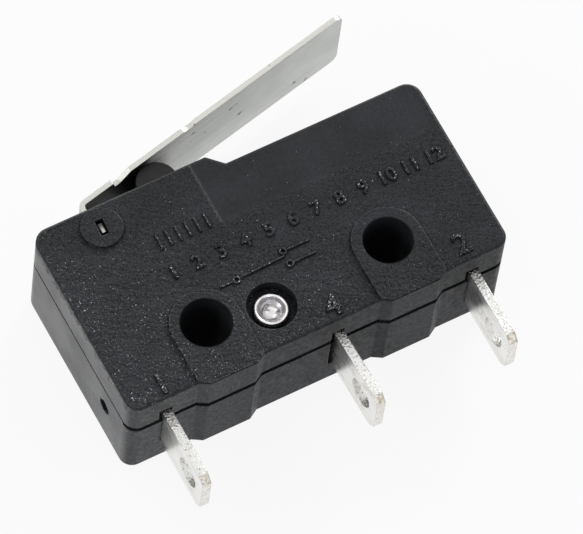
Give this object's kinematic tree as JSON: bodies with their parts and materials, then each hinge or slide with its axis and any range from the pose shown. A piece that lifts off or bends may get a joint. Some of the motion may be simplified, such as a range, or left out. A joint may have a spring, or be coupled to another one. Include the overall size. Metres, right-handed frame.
{
  "type": "micro switch",
  "caption": "Subminiature snap-action switch in a riveted black plastic case, with a long hinged metal lever over a plunger and flat solder terminals.",
  "frame": {"origin": "axis of the mounting hole nearest the lever's hinge, at the flat back of the case", "axes": "+X along the case to the free end of the lever, +Y from the terminals to the lever, +Z from the back to the cover"},
  "size_m": [0.0199, 0.0183, 0.0064],
  "materials": {
    "case_plastic": "black moulded thermoset with a fine spark-eroded texture",
    "plunger_plastic": "smooth black moulded plastic",
    "lever_steel": "stainless strip, lightly brushed along its length",
    "tinned_brass": "tin-plated brass, dull bright, with rough punched edges",
    "rivet_brass": "nickel-plated brass, bright on the rolled rim",
    "contact_silver": "silver alloy",
    "spring_copper": "copper alloy spring strip",
    "spring_steel": "drawn stainless spring wire"
  },
  "bodies": {
    "case": {"housing_base": "case_plastic", "housing_cover": "case_plastic", "case_rivet": "rivet_brass", "common_terminal": "tinned_brass", "normally_open_terminal": "tinned_brass", "normally_closed_terminal": "tinned_brass", "normally_open_contact": "contact_silver", "normally_closed_contact": "contact_silver"},
    "lever": {"lever": "lever_steel"},
    "plunger": {"plunger": "plunger_plastic"},
    "rocker": {"rocker": "spring_copper"},
    "arm": {"contact_arm": "spring_copper", "moving_contact": "contact_silver", "snap_spring": "spring_steel"}
  },
  "joints": [
    {"name": "lever_hinge", "type": "hinge", "parent": "case", "child": "lever", "pos_m": [-0.00203, 0.00645, 0.00313], "axis": [0, 0, 1], "range_deg": [-12, 0], "stiffness_Nm_per_rad": 0.008, "springref_deg": 5.73},
    {"name": "plunger_travel", "type": "slide", "parent": "case", "child": "plunger", "axis": [0, 1, 0], "range_m": [-0.00084, 0]},
    {"name": "rocker_pivot", "type": "hinge", "parent": "case", "child": "rocker", "pos_m": [-0.00311, 0.00307, 0.00313], "axis": [0, 0, 1], "range_deg": [-9.3, 0]},
    {"name": "arm_pivot", "type": "hinge", "parent": "case", "child": "arm", "pos_m": [-0.00311, 0.00407, 0.00313], "axis": [0, 0, 1], "range_deg": [-1.9, 0], "deforming": ["snap_spring"]}
  ],
  "couplings": [
    {"joint": "plunger_travel", "follows": "lever_hinge", "m_per_rad": 0.003958},
    {"joint": "rocker_pivot", "follows": "lever_hinge", "ratio": 0.7667},
    {"joint": "arm_pivot", "follows": "lever_hinge", "ratio": 0.15417}
  ]
}
